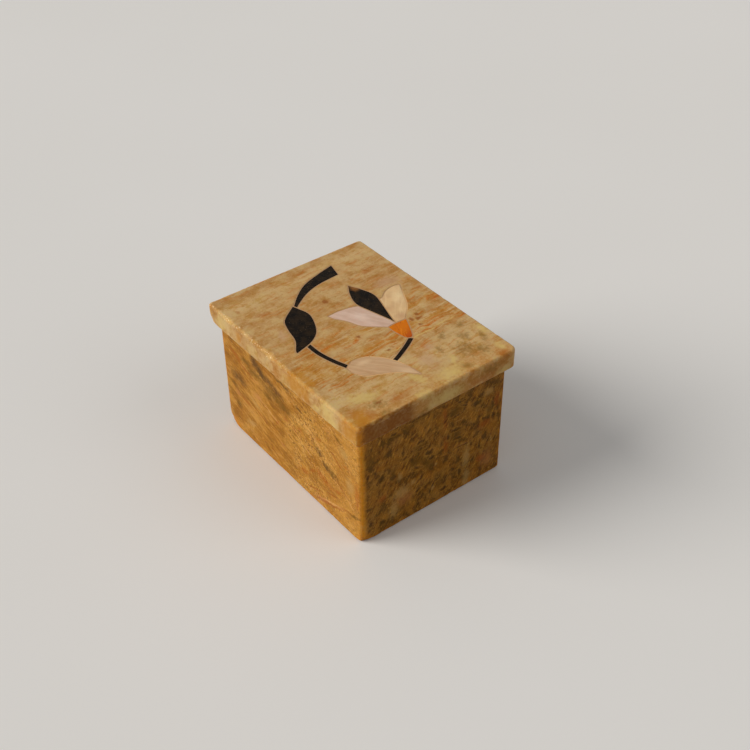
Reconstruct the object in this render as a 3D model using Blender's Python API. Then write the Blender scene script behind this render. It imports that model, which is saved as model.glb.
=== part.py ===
"""Small stone box with a lift-off lid whose face is inlaid with a floral spray.

Lengths are in metres. +Z is up and +X runs along the long side. The box stands on
z = 0, carved hollow from one block. The lid is a second block: a slab that lies on
the rim and, carved in one with it, a step that drops into the cavity and keeps the
slab in its place. Nine thin stones are bedded in pockets that are cut into the slab,
each with an even line of cement round it and under it.
"""
import math

import bpy
from mathutils import Vector

# The lid's slab. It stands over the body by the overhang on all four sides.
LID_LENGTH = 0.0510
LID_WIDTH = 0.0393
LID_THICKNESS = 0.0045
LID_OVERHANG = 0.0015
LID_CORNER_RADIUS = 0.0008
LID_WORN_CORNER_RADIUS = 0.0016
LID_EDGE_EASE = 0.0006

# The body, its walls and the cavity.
BODY_HEIGHT = 0.0268
BODY_CORNER_RADIUS = 0.0006
BODY_WORN_CORNER_RADIUS = 0.0008
BODY_FOOT_EASE = 0.0005
RIM_OUTER_EASE = 0.0003
RIM_INNER_EASE = 0.0004
WALL_THICKNESS = 0.0040
FLOOR_THICKNESS = 0.0040
CAVITY_CORNER_RADIUS = 0.0030
FLOOR_FILLET = 0.0015

# How the lid sits: the gap under the slab, and the step with its play in the cavity.
SEAT_GAP = 0.0002
STEP_DEPTH = 0.0024
STEP_CLEARANCE = 0.0006
STEP_EDGE_EASE = 0.0005

# The inlay. Its field is the slab's face less one margin on all sides.
FIELD_MARGIN = 0.0035
POCKET_DEPTH = 0.0015
CEMENT_LINE = 0.0003
CEMENT_BED = 0.0003
STEM_WIDTH = 0.0009

# How far a cutter stands out over the face it cuts.
CUT_OVERRUN = 0.0010

# Counts, and the share of a corner's radius that is kept where an edge is eased.
CORNER_STEPS = 9
EASE_STEPS = 5
SPAN_STEPS = 5
TIP_STEPS = 5
KEPT_CORNER_SHARE = 0.2
TIP_TURN = math.radians(28)
SHARP_TURN = math.radians(35)

# Outlines of the inlaid stones. Each is a chain of runs, smooth within a run and
# cornered where two runs meet. Points are shares of half the field's length and half
# its width, from the middle of the lid. A stone that meets a neighbour is drawn on
# under it, and is cut back to the cement line afterwards.
STEM_TAIL_SHARES = (
    ((-0.949, 0.52), (-0.903, 0.258), (-0.838, -0.01), (-0.725, -0.233), (-0.571, -0.446)),
    ((-0.571, -0.446), (-0.557, -0.406)),
    ((-0.557, -0.406), (-0.611, -0.317), (-0.705, -0.104), (-0.76, 0.129), (-0.783, 0.466)),
    ((-0.783, 0.466), (-0.865, 0.494), (-0.949, 0.52)),
)
LEAF_DARK_SHARES = (
    ((-0.608, -0.418), (-0.547, -0.39), (-0.4, -0.351), (-0.183, -0.467), (-0.064, -0.644),
     (0.002, -0.922)),
    ((0.002, -0.922), (-0.033, -0.91), (-0.162, -0.798), (-0.339, -0.741), (-0.477, -0.659),
     (-0.608, -0.418)),
)
LEAF_SHELL_SHARES = (
    ((0.903, -0.019), (0.735, -0.053), (0.562, -0.148), (0.437, -0.302), (0.4, -0.456),
     (0.403, -0.525)),
    ((0.403, -0.525), (0.43, -0.59), (0.451, -0.63)),
    ((0.451, -0.63), (0.533, -0.623), (0.627, -0.552), (0.684, -0.399), (0.767, -0.197),
     (0.903, -0.019)),
)
CALYX_SHARES = (
    ((0.2, 0.532), (0.306, 0.467), (0.415, 0.39), (0.438, 0.35), (0.41, 0.295),
     (0.287, 0.264), (0.201, 0.261)),
    ((0.201, 0.261), (0.193, 0.378), (0.2, 0.532)),
)
PETAL_CENTRE_SHARES = (
    ((0.161, 0.39), (0.09, 0.411), (-0.108, 0.492), (-0.285, 0.549), (-0.432, 0.498),
     (-0.562, 0.412)),
    ((-0.562, 0.412), (-0.432, 0.31), (-0.274, 0.25), (-0.107, 0.3), (0.09, 0.372),
     (0.161, 0.39)),
)
PETAL_UPPER_SHARES = (
    ((-0.274, 0.944), (-0.115, 0.836), (0.039, 0.721), (0.193, 0.516)),
    ((0.193, 0.516), (0.225, 0.456), (0.214, 0.398)),
    ((0.214, 0.398), (0.09, 0.4), (-0.107, 0.437), (-0.212, 0.492)),
    ((-0.212, 0.492), (-0.204, 0.59), (-0.269, 0.721), (-0.29, 0.861), (-0.274, 0.944)),
)
PETAL_LOWER_SHARES = (
    ((-0.275, -0.184), (-0.209, -0.153), (-0.111, -0.064), (0.035, 0.025), (0.174, 0.234)),
    ((0.174, 0.234), (0.22, 0.311), (0.214, 0.393)),
    ((0.214, 0.393), (0.09, 0.388), (-0.107, 0.36), (-0.197, 0.332)),
    ((-0.197, 0.332), (-0.254, 0.163), (-0.278, -0.029), (-0.275, -0.184)),
)
# Middle lines of the two stems that are strips of one even width.
STEM_LOWER_SHARES = ((-0.063, -0.731), (0.114, -0.728), (0.291, -0.678), (0.448, -0.604))
STEM_RIGHT_SHARES = ((0.453, 0.333), (0.516, 0.19), (0.59, -0.009), (0.622, -0.118))

# Sizes that follow from the ones above.
BODY_LENGTH = LID_LENGTH - 2 * LID_OVERHANG
BODY_WIDTH = LID_WIDTH - 2 * LID_OVERHANG
CAVITY_LENGTH = BODY_LENGTH - 2 * WALL_THICKNESS
CAVITY_WIDTH = BODY_WIDTH - 2 * WALL_THICKNESS
STEP_LENGTH = CAVITY_LENGTH - 2 * STEP_CLEARANCE
STEP_WIDTH = CAVITY_WIDTH - 2 * STEP_CLEARANCE
STEP_CORNER_RADIUS = CAVITY_CORNER_RADIUS - STEP_CLEARANCE
FIELD_HALF_LENGTH = LID_LENGTH / 2 - FIELD_MARGIN
FIELD_HALF_WIDTH = LID_WIDTH / 2 - FIELD_MARGIN
SEAT_HEIGHT = BODY_HEIGHT + SEAT_GAP

# Corner radii go round from the front right corner, counter-clockwise from above.
LID_CORNERS = (LID_CORNER_RADIUS, LID_WORN_CORNER_RADIUS, LID_CORNER_RADIUS, LID_CORNER_RADIUS)
BODY_CORNERS = (
    BODY_WORN_CORNER_RADIUS, BODY_CORNER_RADIUS, BODY_CORNER_RADIUS, BODY_WORN_CORNER_RADIUS,
)
CAVITY_CORNERS = (CAVITY_CORNER_RADIUS,) * 4
STEP_CORNERS = (STEP_CORNER_RADIUS,) * 4


def clear_scene():
    """Takes out everything the start-up scene holds."""
    for thing in list(bpy.data.objects):
        bpy.data.objects.remove(thing, do_unlink=True)


def ring(length, width, corners, height):
    """One level outline of a block: a rectangle with a rounded corner of its own radius at each."""
    points = []
    signs = ((1, -1), (1, 1), (-1, 1), (-1, -1))
    for quarter, ((along, across), radius) in enumerate(zip(signs, corners)):
        middle_x = along * (length / 2 - radius)
        middle_y = across * (width / 2 - radius)
        for step in range(CORNER_STEPS + 1):
            angle = math.radians(90) * (quarter - 1 + step / CORNER_STEPS)
            x = middle_x + radius * math.cos(angle)
            y = middle_y + radius * math.sin(angle)
            points.append((x, y, height))
    return points


def rounded_edge(length, width, corners, level, ease, inward, face_above):
    """Rings of a quarter-round between an upright wall and a level face, from wall to face.

    inward is 1 where the rings shrink towards the face and -1 where they widen.
    face_above is 1 where the face lies over the wall and -1 where it lies under it.
    """
    rings = []
    for step in range(EASE_STEPS + 1):
        angle = math.radians(90) * step / EASE_STEPS
        inset = inward * ease * (1 - math.cos(angle))
        height = level - face_above * ease * (1 - math.sin(angle))
        radii = [max(radius - inset, KEPT_CORNER_SHARE * radius) for radius in corners]
        rings.append(ring(length - 2 * inset, width - 2 * inset, radii, height))
    return rings


def finish(name, points, faces, colour, roughness, height):
    """Makes the object at its height on the box's middle line, with a material of its own."""
    mesh = bpy.data.meshes.new(name)
    mesh.from_pydata(points, [], faces)
    mesh.validate()
    mesh.shade_smooth()
    mesh.set_sharp_from_angle(angle=SHARP_TURN)
    thing = bpy.data.objects.new(name, mesh)
    thing.location = (0, 0, height)
    bpy.context.scene.collection.objects.link(thing)
    material = bpy.data.materials.new(name)
    material.use_nodes = True
    shader = material.node_tree.nodes["Principled BSDF"]
    shader.inputs["Base Color"].default_value = (*colour, 1)
    shader.inputs["Roughness"].default_value = roughness
    mesh.materials.append(material)
    return thing


def block(name, rings, colour, roughness, height):
    """A solid whose skin runs through the rings in turn, closed by the first and the last."""
    around = len(rings[0])
    points = [point for level in rings for point in level]
    faces = [tuple(reversed(range(around)))]
    for level in range(len(rings) - 1):
        for place in range(around):
            following = (place + 1) % around
            low = level * around
            high = low + around
            faces.append((low + place, low + following, high + following, high + place))
    last = (len(rings) - 1) * around
    faces.append(tuple(range(last, last + around)))
    return finish(name, points, faces, colour, roughness, height)


def smoothed(points):
    """A soft curve through the points, without its last one."""
    if len(points) < 3:
        return list(points[:-1])
    ends = [2 * points[0] - points[1], *points, 2 * points[-1] - points[-2]]
    curve = []
    for before, start, end, after in zip(ends, ends[1:], ends[2:], ends[3:]):
        for step in range(SPAN_STEPS):
            t = step / SPAN_STEPS
            square = (2 * before - 5 * start + 4 * end - after) * t * t
            cube = (3 * start - before - 3 * end + after) * t * t * t
            curve.append((2 * start + (end - before) * t + square + cube) / 2)
    return curve


def in_field(shares):
    """Points of the inlay's field from their shares."""
    return [Vector((u * FIELD_HALF_LENGTH, v * FIELD_HALF_WIDTH)) for u, v in shares]


def turned_outwards(points):
    """The outline counter-clockwise."""
    area = sum(a.x * b.y - b.x * a.y for a, b in zip(points, points[1:] + points[:1]))
    return points if area > 0 else points[::-1]


def outline(runs):
    """A stone's outline from its chain of runs."""
    points = []
    for run in runs:
        points.extend(smoothed(in_field(run)))
    return turned_outwards(points)


def strip(shares, width):
    """The outline of an even strip along a middle line."""
    middle = in_field(shares)
    line = smoothed(middle) + [middle[-1]]
    left, right = [], []
    for place, point in enumerate(line):
        ahead = line[min(place + 1, len(line) - 1)]
        behind = line[max(place - 1, 0)]
        along = (ahead - behind).normalized()
        across = Vector((-along.y, along.x)) * width / 2
        left.append(point + across)
        right.append(point - across)
    return turned_outwards(left + right[::-1])


def grown(points, distance):
    """The outline moved outwards by one distance, rounded about its tips."""
    moved = []
    for place, point in enumerate(points):
        arriving = (point - points[place - 1]).normalized()
        leaving = (points[(place + 1) % len(points)] - point).normalized()
        first = Vector((arriving.y, -arriving.x))
        second = Vector((leaving.y, -leaving.x))
        turn = math.atan2(arriving.cross(leaving), arriving.dot(leaving))
        if turn > TIP_TURN:
            for step in range(TIP_STEPS + 1):
                angle = turn * step / TIP_STEPS
                x = first.x * math.cos(angle) - first.y * math.sin(angle)
                y = first.x * math.sin(angle) + first.y * math.cos(angle)
                moved.append(point + distance * Vector((x, y)))
        else:
            moved.append(point + distance * (first + second) / (1 + first.dot(second)))
    return moved


def prism(name, points, bottom, top, colour, roughness, height):
    """A flat stone of the outline between two heights."""
    around = len(points)
    corners = [(point.x, point.y, bottom) for point in points]
    corners += [(point.x, point.y, top) for point in points]
    faces = [tuple(reversed(range(around))), tuple(range(around, 2 * around))]
    for place in range(around):
        following = (place + 1) % around
        faces.append((place, following, around + following, around + place))
    return finish(name, corners, faces, colour, roughness, height)


def cut(target, name, points, bottom, top):
    """Cuts the outline away from the target between two heights."""
    cutter = prism(name, points, bottom, top, (0, 0, 0), 1, SEAT_HEIGHT)
    cutter.hide_render = True
    cutter.display_type = "WIRE"
    change = target.modifiers.new(name, "BOOLEAN")
    change.operation = "DIFFERENCE"
    change.solver = "EXACT"
    change.object = cutter


def build_body():
    """The block of the body with its cavity, its skin taken from the foot round to the floor."""
    outer = (BODY_LENGTH, BODY_WIDTH, BODY_CORNERS)
    inner = (CAVITY_LENGTH, CAVITY_WIDTH, CAVITY_CORNERS)
    rings = rounded_edge(*outer, 0, BODY_FOOT_EASE, 1, -1)[::-1]
    rings += rounded_edge(*outer, BODY_HEIGHT, RIM_OUTER_EASE, 1, 1)
    rings += rounded_edge(*inner, BODY_HEIGHT, RIM_INNER_EASE, -1, 1)[::-1]
    rings += rounded_edge(*inner, FLOOR_THICKNESS, FLOOR_FILLET, 1, -1)
    return block("box_body", rings, (0.52, 0.33, 0.13), 0.45, 0)


def build_lid():
    """The slab and the step under it as one solid, its skin taken from the step's face up."""
    step = (STEP_LENGTH, STEP_WIDTH, STEP_CORNERS)
    slab = (LID_LENGTH, LID_WIDTH, LID_CORNERS)
    rings = rounded_edge(*step, -STEP_DEPTH, STEP_EDGE_EASE, 1, -1)[::-1]
    rings.append(ring(*step, 0))
    rings += rounded_edge(*slab, 0, LID_EDGE_EASE, 1, -1)[::-1]
    rings += rounded_edge(*slab, LID_THICKNESS, LID_EDGE_EASE, 1, 1)
    return block("lid", rings, (0.50, 0.36, 0.17), 0.4, SEAT_HEIGHT)


def build_inlay(lid):
    """Cuts the pockets into the lid and beds a stone in each."""
    pocket_floor = LID_THICKNESS - POCKET_DEPTH
    stone_bottom = pocket_floor + CEMENT_BED
    over = LID_THICKNESS + CUT_OVERRUN
    under = pocket_floor - CUT_OVERRUN
    black = (0.012, 0.010, 0.008)
    brown_black = (0.018, 0.012, 0.007)
    cream_shell = (0.62, 0.42, 0.21)
    pink_shell = (0.56, 0.36, 0.25)
    orange = (0.60, 0.16, 0.004)
    # Each stone with its outline, the neighbours it is cut back from, and its look.
    stones = {
        "leaf_dark": (outline(LEAF_DARK_SHARES), (), black, 0.3),
        "leaf_shell": (outline(LEAF_SHELL_SHARES), (), pink_shell, 0.25),
        "calyx": (outline(CALYX_SHARES), (), orange, 0.2),
        "petal_centre": (outline(PETAL_CENTRE_SHARES), ("calyx",), brown_black, 0.25),
        "petal_upper": (outline(PETAL_UPPER_SHARES), ("petal_centre", "calyx"), cream_shell, 0.25),
        "petal_lower": (
            outline(PETAL_LOWER_SHARES), ("petal_centre", "calyx", "petal_upper"), pink_shell, 0.25,
        ),
        "stem_tail": (outline(STEM_TAIL_SHARES), ("leaf_dark",), black, 0.3),
        "stem_lower": (strip(STEM_LOWER_SHARES, STEM_WIDTH), ("leaf_dark", "leaf_shell"), black, 0.3),
        "stem_right": (strip(STEM_RIGHT_SHARES, STEM_WIDTH), ("calyx", "leaf_shell"), black, 0.3),
    }
    for name, (points, neighbours, colour, roughness) in stones.items():
        cut(lid, "pocket_of_" + name, grown(points, CEMENT_LINE), pocket_floor, over)
        stone = prism(name, points, stone_bottom, LID_THICKNESS, colour, roughness, SEAT_HEIGHT)
        for neighbour in neighbours:
            beside = grown(stones[neighbour][0], CEMENT_LINE)
            cut(stone, "line_of_" + neighbour + "_in_" + name, beside, under, over)


clear_scene()
build_body()
build_inlay(build_lid())
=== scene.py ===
"""The looks of a small stone box with an inlaid lift-off lid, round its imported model.

Shapes are in metres. Stone patterns are worked out in millimetres on the object's own
coordinates, so veins and bands run through the stone and on round its corners.
"""

import math

import bpy
import numpy as np
from mathutils import Euler, Matrix, Vector


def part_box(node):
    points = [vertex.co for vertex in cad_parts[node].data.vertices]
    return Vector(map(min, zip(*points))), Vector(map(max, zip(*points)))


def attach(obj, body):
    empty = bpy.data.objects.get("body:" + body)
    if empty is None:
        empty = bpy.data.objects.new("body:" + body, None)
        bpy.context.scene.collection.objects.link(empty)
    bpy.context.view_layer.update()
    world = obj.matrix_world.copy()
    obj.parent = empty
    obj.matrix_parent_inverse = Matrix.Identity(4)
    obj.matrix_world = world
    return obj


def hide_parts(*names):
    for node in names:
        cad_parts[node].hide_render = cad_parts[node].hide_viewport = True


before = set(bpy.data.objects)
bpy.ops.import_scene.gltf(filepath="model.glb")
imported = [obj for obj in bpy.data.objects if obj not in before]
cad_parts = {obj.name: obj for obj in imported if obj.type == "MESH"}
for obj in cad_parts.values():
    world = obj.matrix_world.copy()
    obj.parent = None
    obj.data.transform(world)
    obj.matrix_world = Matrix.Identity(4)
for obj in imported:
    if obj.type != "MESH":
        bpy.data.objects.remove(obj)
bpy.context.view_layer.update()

# ---- Sizes, in metres ----------------------------------------------------------------

body_low, body_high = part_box("box_body")
lid_low, lid_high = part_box("lid")
FACE_LEVEL = lid_high.z
RIM_LEVEL = body_high.z
SEAT_GAP, POCKET_DEPTH, STEP_CLEARANCE = 0.0002, 0.0015, 0.0006
SEAT_LEVEL = RIM_LEVEL + SEAT_GAP            # the slab's underside, just clear of the rim
POCKET_LEVEL = FACE_LEVEL - POCKET_DEPTH     # the floors of the pockets
WALL, FLOOR = 0.0040, 0.0040
FOOT_EASE, RIM_OUTER_EASE, RIM_INNER_EASE = 0.0005, 0.0003, 0.0004
CAVITY_CORNER, FLOOR_FILLET = 0.0030, 0.0015
LID_EASE, STEP_EASE = 0.0006, 0.0005
STEP_INSET = lid_high.x - body_high.x + WALL + STEP_CLEARANCE
STEP_CORNER = 0.0024
RING_LIMIT = 0.0030          # the face's rings end this far in; the rest is one flat
CEMENT_DEPTH = 0.00004       # the cement lies this far below the face
OVERRUN, SAME, LEAST_RADIUS, FLOOR_REACH = 0.001, 0.00002, 0.0002, 3.0
RIM_ROWS = 3                 # rows of the inner ease that still show as rim
# Corner radii, from the front right one round by the back
BODY_CORNERS = (0.0008, 0.0006, 0.0006, 0.0008)
LID_CORNERS = (0.0008, 0.0016, 0.0008, 0.0008)
SIDE_POINTS, CORNER_POINTS = 120, 12
SHARP_ANGLE = 40             # degrees; the pockets' rims stay crisp

# Wear: how far from an edge it reaches, how deep it goes, the cells of its noises, and its
# largest dents as (place, radius, depth)
EDGE_REACH, BEND_REACH, UPRIGHT_WEAR = 0.0006, 0.0007, 0.8
CHIP_DEPTH, NICK_DEPTH, WAVE_DEPTH = 0.00005, 0.00003, 0.00003
CHIP_CELL, NICK_CELL, WAVE_CELL, RIM_CELL = 0.0016, 0.0007, 0.006, 0.0012
FLAT_NEARNESS = 0.02         # on the flat face, wear begins at this nearness to an edge
BODY_DENTS = (((body_high.x, body_low.y + 0.0006, 0.0), 0.0013, 0.0004),
              ((body_low.x, body_low.y, 0.0), 0.0022, 0.0006))
LID_DENTS = (((-0.0030, lid_low.y, FACE_LEVEL), 0.0008, 0.00022),
             ((lid_low.x, lid_low.y, SEAT_LEVEL), 0.0014, 0.0006))

MILLIMETRES = 1000.0

# The photograph's camera: angles in degrees, lens and sensor in millimetres
CAMERA_AZIMUTH, CAMERA_ELEVATION, CAMERA_ROLL = -37.389, 38.469, 0.713
CAMERA_LENS, CAMERA_SENSOR, CAMERA_NEAR = 55.482, 36, 0.01
CAMERA_PLACE = (0.15053, -0.11108, 0.16724)

# Lamps as (place, strength, colour), how wide they spread in degrees, and the sky's
# strength as it lights the stone and as it is seen
KEY_LAMP = ((-0.313, -0.522, 0.348), 2.55, (1.0, 0.97, 0.93))
FILL_LAMP = ((0.45, 0.30, 0.45), 0.35, (1.0, 0.98, 0.96))
LAMP_SPREAD, SKY_LIGHT, SKY_SEEN = 39, 0.28, 0.62


# ---- Numpy fields and surfaces ------------------------------------------------------

def drawn(cells, seed):
    """A fixed random number from 0 to 1 for each cell, from its three whole-number places."""
    key = cells[..., 0] * 73856093 ^ cells[..., 1] * 19349663 ^ cells[..., 2] * 83492791
    key = (key ^ seed * 2654435761) & 0xFFFFFFFF
    key = ((key ^ (key >> 15)) * 2246822519) & 0xFFFFFFFF
    key = ((key ^ (key >> 13)) * 3266489917) & 0xFFFFFFFF
    return (key ^ (key >> 16)) / 0xFFFFFFFF


def soft_noise(points, cell, seed):
    """Smooth noise from 0 to 1: the eight corners of a point's cell each hold a drawn number,
    and they are blended by 3t^2 - 2t^3 of the point's place in the cell along each axis."""
    scaled = points / cell
    low = np.floor(scaled).astype(np.int64)
    part = scaled - low
    part = part * part * (3 - 2 * part)
    total = np.zeros(points.shape[:-1])
    for corner in np.ndindex(2, 2, 2):
        offset = np.array(corner)
        weight = np.prod(np.where(offset == 1, part, 1 - part), axis=-1)
        total += weight * drawn(low + offset, seed)
    return total


def rough_noise(points, cell, seed, octaves):
    """Noise from 0 to 1 with finer and finer detail: each octave halves the cell and the height."""
    total, height, reach = 0.0, 1.0, 0.0
    for octave in range(octaves):
        total = total + height * soft_noise(points, cell / 2 ** octave, seed + octave)
        reach += height
        height /= 2
    return total / reach


def eased(value, low, high):
    """0 below low, 1 above high and 3t^2 - 2t^3 between."""
    t = np.clip((value - low) / (high - low), 0, 1)
    return t * t * (3 - 2 * t)


def rounded_rings(half_length, half_width, corners):
    """Rounded rectangles, one for each row of the arrays: quarter circles of the row's four
    radii about the corners' own middles, and straight sides evenly divided between them.
    Returns places (rows, around, 2) and how near each lies to an upright corner, 0 to 1."""
    signs = np.array([(1, -1), (1, 1), (-1, 1), (-1, -1)], float)
    starts = np.radians([-90, 0, 90, 180])
    turn = np.linspace(0, np.pi / 2, CORNER_POINTS)
    angle = starts[:, None] + turn[None]
    spoke = np.stack([np.cos(angle), np.sin(angle)], -1)
    reach = np.stack([half_length, half_width], -1)[:, None]
    middle = signs[None] * (reach - corners[..., None])
    arcs = middle[:, :, None] + corners[..., None, None] * spoke[None]
    following = np.roll(arcs[:, :, 0], -1, axis=1)
    share = (np.arange(1, SIDE_POINTS + 1) / (SIDE_POINTS + 1))[None, None, :, None]
    sides = arcs[:, :, -1:] * (1 - share) + following[:, :, None] * share
    ring = np.concatenate([arcs, sides], axis=2)
    tail = np.linspace(0, 1, SIDE_POINTS + 2)[1:-1]
    lengths = np.linalg.norm(following - arcs[:, :, -1], axis=-1)
    away = np.minimum(tail, 1 - tail)[None, None] * lengths[..., None]
    near = np.concatenate([np.ones(arcs.shape[:3]), np.exp(-away / EDGE_REACH)], axis=2)
    rows = len(half_length)
    return ring.reshape(rows, -1, 2), near.reshape(rows, -1)


def profile(*runs):
    """Rows of (inset, height, nearness to an edge) along a section, run after run."""
    return np.concatenate([np.asarray(run, float) for run in runs])


def quarter(inset, level, radius, side, rise, steps, from_wall=True):
    """A quarter circle between a wall at the inset and a level face: inset + side r (1 - cos a),
    level - rise r (1 - sin a), for a from 0 at the wall to 90 degrees at the face."""
    a = np.linspace(0, np.pi / 2, steps)
    run = np.stack([inset + side * radius * (1 - np.cos(a)),
                    level - rise * radius * (1 - np.sin(a)), np.ones(steps)], -1)
    return run if from_wall else run[::-1]


def span(first, last, steps):
    """A straight run between two places of a section, ends left out, closer set at its ends,
    with nearness to an edge falling off as exp(-distance / bend reach)."""
    t = (1 - np.cos(np.linspace(0, np.pi, steps + 2))) / 2
    first, last = np.array(first, float), np.array(last, float)
    places = first + t[:, None] * (last - first)
    length = np.linalg.norm(last - first)
    near = np.exp(-np.minimum(t, 1 - t) * length / BEND_REACH)
    return np.concatenate([places, near[:, None]], 1)[1:-1]


def outward(grid):
    """Unit normals of a closed band of rings: the cross product of the step round it and
    the step up it."""
    around = np.roll(grid, -1, axis=1) - np.roll(grid, 1, axis=1)
    along = np.gradient(grid, axis=0)
    normal = np.cross(around, along)
    return normal / np.maximum(np.linalg.norm(normal, axis=-1, keepdims=True), 1e-12)


def banded_mesh(name, grid, **kept):
    """A closed mesh through the rings, capped at both ends, that carries the given values,
    0 to 1, for its material."""
    rows, around = grid.shape[:2]
    index = np.arange(rows * around).reshape(rows, around)
    beside = np.roll(index, -1, axis=1)
    quads = np.stack([index[:-1], beside[:-1], beside[1:], index[1:]], -1).reshape(-1, 4)
    mesh = bpy.data.meshes.new(name)
    faces = quads.tolist() + [index[0][::-1].tolist(), index[-1].tolist()]
    mesh.from_pydata(grid.reshape(-1, 3).tolist(), [], faces)
    mesh.update()
    for key, values in kept.items():
        layer = mesh.attributes.new(key, "FLOAT", "POINT")
        layer.data.foreach_set("value", values.reshape(-1).astype(np.float32))
    mesh.shade_smooth()
    return mesh


def worn(grid, near, seed, dents, flat_from=1.0):
    """Moves a band of rings inwards as handling does: shallow chips where edge nearness and
    rough noise are both high, a slight unevenness, and each dent as depth exp(-(d / r)^2).
    What lies at the flat level or above stays flat away from its edges."""
    normal = outward(grid)
    crumble = rough_noise(grid, CHIP_CELL, seed, 4)
    nicks = rough_noise(grid, NICK_CELL, seed + 40, 3)
    chips = near ** 2 * (CHIP_DEPTH * eased(crumble, 0.55, 0.75)
                         + NICK_DEPTH * eased(nicks, 0.55, 0.8))
    depth = chips + WAVE_DEPTH * soft_noise(grid, WAVE_CELL, seed + 80) * (1 - near)
    ragged = 0.75 + 0.5 * rough_noise(grid, RIM_CELL, seed + 120, 3)
    for place, radius, amount in dents:
        distance = np.linalg.norm(grid - np.array(place), axis=-1)
        dent = amount * np.exp(-(distance * ragged / radius) ** 2)
        depth, chips = depth + dent, chips + dent
    on_flat = depth * np.maximum(near - FLAT_NEARNESS, 0)
    depth = np.where(grid[..., 2] >= flat_from, on_flat, depth)
    wear = np.clip(chips / CHIP_DEPTH, 0, 1) * 0.7 + near ** 3 * 0.3
    return grid - normal * depth[..., None], wear


def piece(name, mesh, body, material, slot, *nodes):
    """Puts a finished mesh in the scene as a piece that rides on a body."""
    mesh.name = name
    thing = bpy.data.objects.new(name, mesh)
    bpy.context.scene.collection.objects.link(thing)
    mesh.materials.clear()
    mesh.materials.append(material)
    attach(thing, body)
    if nodes:
        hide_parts(*nodes)


# ---- Materials ----------------------------------------------------------------------

def tone(red, green, blue):
    """A colour from its screen values, 0 to 255, made linear."""
    return tuple(((c / 255 + 0.055) / 1.055) ** 2.4 if c > 10 else c / 255 / 12.92
                 for c in (red, green, blue)) + (1.0,)


class Socket:
    """What a node gives. Sums of sockets and numbers add their Math nodes."""

    def __init__(self, nodes, socket):
        self.nodes = nodes
        self.socket = socket

    def sum(self, operation, first, second):
        """Adds the Math node of an operation on two sockets or numbers."""
        return self.nodes.add("ShaderNodeMath", {"operation": operation}, {0: first, 1: second})

    def __add__(self, other):
        return self.sum("ADD", self, other)

    def __sub__(self, other):
        return self.sum("SUBTRACT", self, other)

    def __rsub__(self, other):
        return self.sum("SUBTRACT", other, self)

    def __mul__(self, other):
        return self.sum("MULTIPLY", self, other)

    __radd__ = __add__
    __rmul__ = __mul__

    def or_more(self, other):
        return self.sum("MAXIMUM", self, other)

    def or_less(self, other):
        return self.sum("MINIMUM", self, other)


class Nodes:
    """A tree of nodes under way, a material's or the sky's."""

    def __init__(self, tree):
        self.tree = tree

    def join(self, value, socket):
        """Links a socket's value to another, or sets it where it is a plain value."""
        if isinstance(value, Socket):
            self.tree.links.new(value.socket, socket)
        else:
            socket.default_value = value

    def add(self, kind, settings, sockets, output=0):
        """Adds a node: its settings first, then the values or links of its sockets."""
        node = self.tree.nodes.new(kind)
        for name, value in settings.items():
            if name == "stops":
                ramp = node.color_ramp.elements
                ramp.remove(ramp[1])
                ramp[0].position, ramp[0].color = value[0]
                for place, colour in value[1:]:
                    ramp.new(place).color = colour
            else:
                setattr(node, name, value)
        for name, value in sockets.items():
            self.join(value, node.inputs[name])
        return Socket(self, node.outputs[output])

    def seen(self):
        """1 for a ray that shows the background, straight or in a polish, and 0 for one that
        lights the stone."""
        camera_ray, glossy_ray, clear_ray = (
            self.add("ShaderNodeLightPath", {}, {}, "Is " + way + " Ray")
            for way in ("Camera", "Glossy", "Transmission"))
        return camera_ray.or_more(glossy_ray).or_more(clear_ray)


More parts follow.
